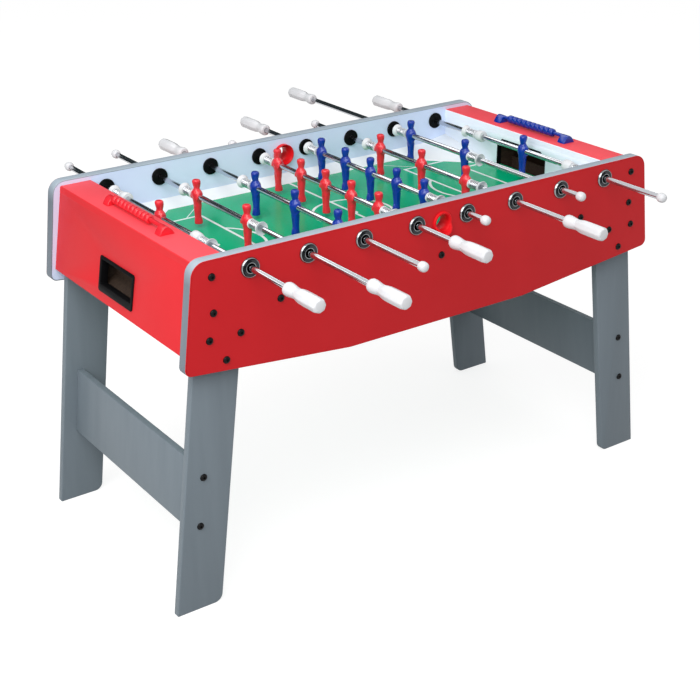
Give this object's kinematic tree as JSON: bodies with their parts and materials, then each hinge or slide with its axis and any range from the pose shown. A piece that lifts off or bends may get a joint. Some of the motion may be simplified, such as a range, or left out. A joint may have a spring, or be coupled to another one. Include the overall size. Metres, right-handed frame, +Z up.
{
  "type": "table football table",
  "caption": "Free-standing table football table with red cabinet, grey board legs, chrome rods with white handles, red and blue player figures and bead scorers.",
  "frame": {"origin": "floor point midway between the four feet, below the centre of the playing field", "axes": "+X along the table towards the blue goalie's end, +Y across the table away from the red goalie's handle side, +Z up"},
  "size_m": [1.3456, 1.4352, 0.8027],
  "materials": {
    "red_laminate": "satin red laminate on board, white on the face towards the field",
    "grey_edging": "satin grey edging",
    "grey_laminate": "satin grey laminate",
    "white_laminate": "satin white laminate",
    "field_print": "satin printed green",
    "white_plastic": "gloss white",
    "black_plastic": "satin black",
    "brown_board": "matt brown",
    "chrome": "polished chrome",
    "steel_rod": "polished chrome over steel",
    "spring_and_cup": "white cup and bright steel spring",
    "red_plastic": "gloss red",
    "blue_plastic": "gloss blue",
    "bolt_black": "black oxide"
  },
  "bodies": {
    "table": {"front_side_panel": "red_laminate", "rear_side_panel": "red_laminate", "side_panel_edging": "grey_edging", "left_end_panel": "red_laminate", "right_end_panel": "red_laminate", "end_ledges": "red_laminate", "goal_walls": "white_laminate", "goal_frames": "black_plastic", "ball_chutes": "brown_board", "return_bezels": "black_plastic", "playfield": "field_print", "field_ramps": "white_plastic", "front_left_leg": "grey_laminate", "front_right_leg": "grey_laminate", "rear_left_leg": "grey_laminate", "rear_right_leg": "grey_laminate", "left_stretcher": "grey_laminate", "right_stretcher": "grey_laminate", "bearing_bushes": "black_plastic", "bearing_dishes": "chrome", "ball_entry_cups": "red_plastic", "red_scorer_rail": "red_plastic", "blue_scorer_rail": "blue_plastic", "cabinet_bolts": "bolt_black", "leg_bolts": "bolt_black"},
    "red_score": {"red_scorer_beads": "red_plastic"},
    "blue_score": {"blue_scorer_beads": "blue_plastic"},
    "red_goalie_slider": {"red_goalie_bumpers": "spring_and_cup"},
    "red_goalie_spinner": {"red_goalie_rod": "steel_rod", "red_goalie_players": "red_plastic", "red_goalie_grip": "white_plastic"},
    "red_defence_slider": {"red_defence_bumpers": "spring_and_cup"},
    "red_defence_spinner": {"red_defence_rod": "steel_rod", "red_defence_players": "red_plastic", "red_defence_grip": "white_plastic"},
    "blue_attack_slider": {"blue_attack_bumpers": "spring_and_cup"},
    "blue_attack_spinner": {"blue_attack_rod": "steel_rod", "blue_attack_players": "blue_plastic", "blue_attack_grip": "white_plastic"},
    "red_midfield_slider": {"red_midfield_bumpers": "spring_and_cup"},
    "red_midfield_spinner": {"red_midfield_rod": "steel_rod", "red_midfield_players": "red_plastic", "red_midfield_grip": "white_plastic"},
    "blue_midfield_slider": {"blue_midfield_bumpers": "spring_and_cup"},
    "blue_midfield_spinner": {"blue_midfield_rod": "steel_rod", "blue_midfield_players": "blue_plastic", "blue_midfield_grip": "white_plastic"},
    "red_attack_slider": {"red_attack_bumpers": "spring_and_cup"},
    "red_attack_spinner": {"red_attack_rod": "steel_rod", "red_attack_players": "red_plastic", "red_attack_grip": "white_plastic"},
    "blue_defence_slider": {"blue_defence_bumpers": "spring_and_cup"},
    "blue_defence_spinner": {"blue_defence_rod": "steel_rod", "blue_defence_players": "blue_plastic", "blue_defence_grip": "white_plastic"},
    "blue_goalie_slider": {"blue_goalie_bumpers": "spring_and_cup"},
    "blue_goalie_spinner": {"blue_goalie_rod": "steel_rod", "blue_goalie_players": "blue_plastic", "blue_goalie_grip": "white_plastic"}
  },
  "joints": [
    {"name": "red_score_slide", "type": "slide", "parent": "table", "child": "red_score", "axis": [0, 1, 0], "range_m": [-0.0456, 0]},
    {"name": "blue_score_slide", "type": "slide", "parent": "table", "child": "blue_score", "axis": [0, 1, 0], "range_m": [-0.02964, 0.01596]},
    {"name": "red_goalie_slide", "type": "slide", "parent": "table", "child": "red_goalie_slider", "axis": [0, 1, 0], "range_m": [-0.1178, 0.0342]},
    {"name": "red_goalie_spin", "type": "hinge", "parent": "red_goalie_slider", "child": "red_goalie_spinner", "pos_m": [-0.4774, 0.0418, 0.755], "axis": [0, 1, 0], "range_deg": [-58, 45]},
    {"name": "red_defence_slide", "type": "slide", "parent": "table", "child": "red_defence_slider", "axis": [0, 1, 0], "range_m": [-0.14448, 0.11352]},
    {"name": "red_defence_spin", "type": "hinge", "parent": "red_defence_slider", "child": "red_defence_spinner", "pos_m": [-0.341, 0.01548, 0.755], "axis": [0, 1, 0], "continuous": true},
    {"name": "blue_attack_slide", "type": "slide", "parent": "table", "child": "blue_attack_slider", "axis": [0, 1, 0], "range_m": [-0.00216, 0.14184]},
    {"name": "blue_attack_spin", "type": "hinge", "parent": "blue_attack_slider", "child": "blue_attack_spinner", "pos_m": [-0.2046, -0.06984, 0.755], "axis": [0, 1, 0], "continuous": true},
    {"name": "red_midfield_slide", "type": "slide", "parent": "table", "child": "red_midfield_slider", "axis": [0, 1, 0], "range_m": [-0.04488, 0.02112]},
    {"name": "red_midfield_spin", "type": "hinge", "parent": "red_midfield_slider", "child": "red_midfield_spinner", "pos_m": [-0.0682, 0.01188, 0.755], "axis": [0, 1, 0], "continuous": true},
    {"name": "blue_midfield_slide", "type": "slide", "parent": "table", "child": "blue_midfield_slider", "axis": [0, 1, 0], "range_m": [-0.05907, 0.00693]},
    {"name": "blue_midfield_spin", "type": "hinge", "parent": "blue_midfield_slider", "child": "blue_midfield_spinner", "pos_m": [0.0682, 0.02607, 0.755], "axis": [0, 1, 0], "continuous": true},
    {"name": "red_attack_slide", "type": "slide", "parent": "table", "child": "red_attack_slider", "axis": [0, 1, 0], "range_m": [-0.0792, 0.0648]},
    {"name": "red_attack_spin", "type": "hinge", "parent": "red_attack_slider", "child": "red_attack_spinner", "pos_m": [0.2046, 0.0072, 0.755], "axis": [0, 1, 0], "continuous": true},
    {"name": "blue_defence_slide", "type": "slide", "parent": "table", "child": "blue_defence_slider", "axis": [0, 1, 0], "range_m": [-0.24768, 0.01032]},
    {"name": "blue_defence_spin", "type": "hinge", "parent": "blue_defence_slider", "child": "blue_defence_spinner", "pos_m": [0.341, 0.11868, 0.755], "axis": [0, 1, 0], "continuous": true},
    {"name": "blue_goalie_slide", "type": "slide", "parent": "table", "child": "blue_goalie_slider", "axis": [0, 1, 0], "range_m": [-0.02888, 0.12312]},
    {"name": "blue_goalie_spin", "type": "hinge", "parent": "blue_goalie_slider", "child": "blue_goalie_spinner", "pos_m": [0.4774, -0.04712, 0.755], "axis": [0, 1, 0], "range_deg": [-45, 58]}
  ]
}
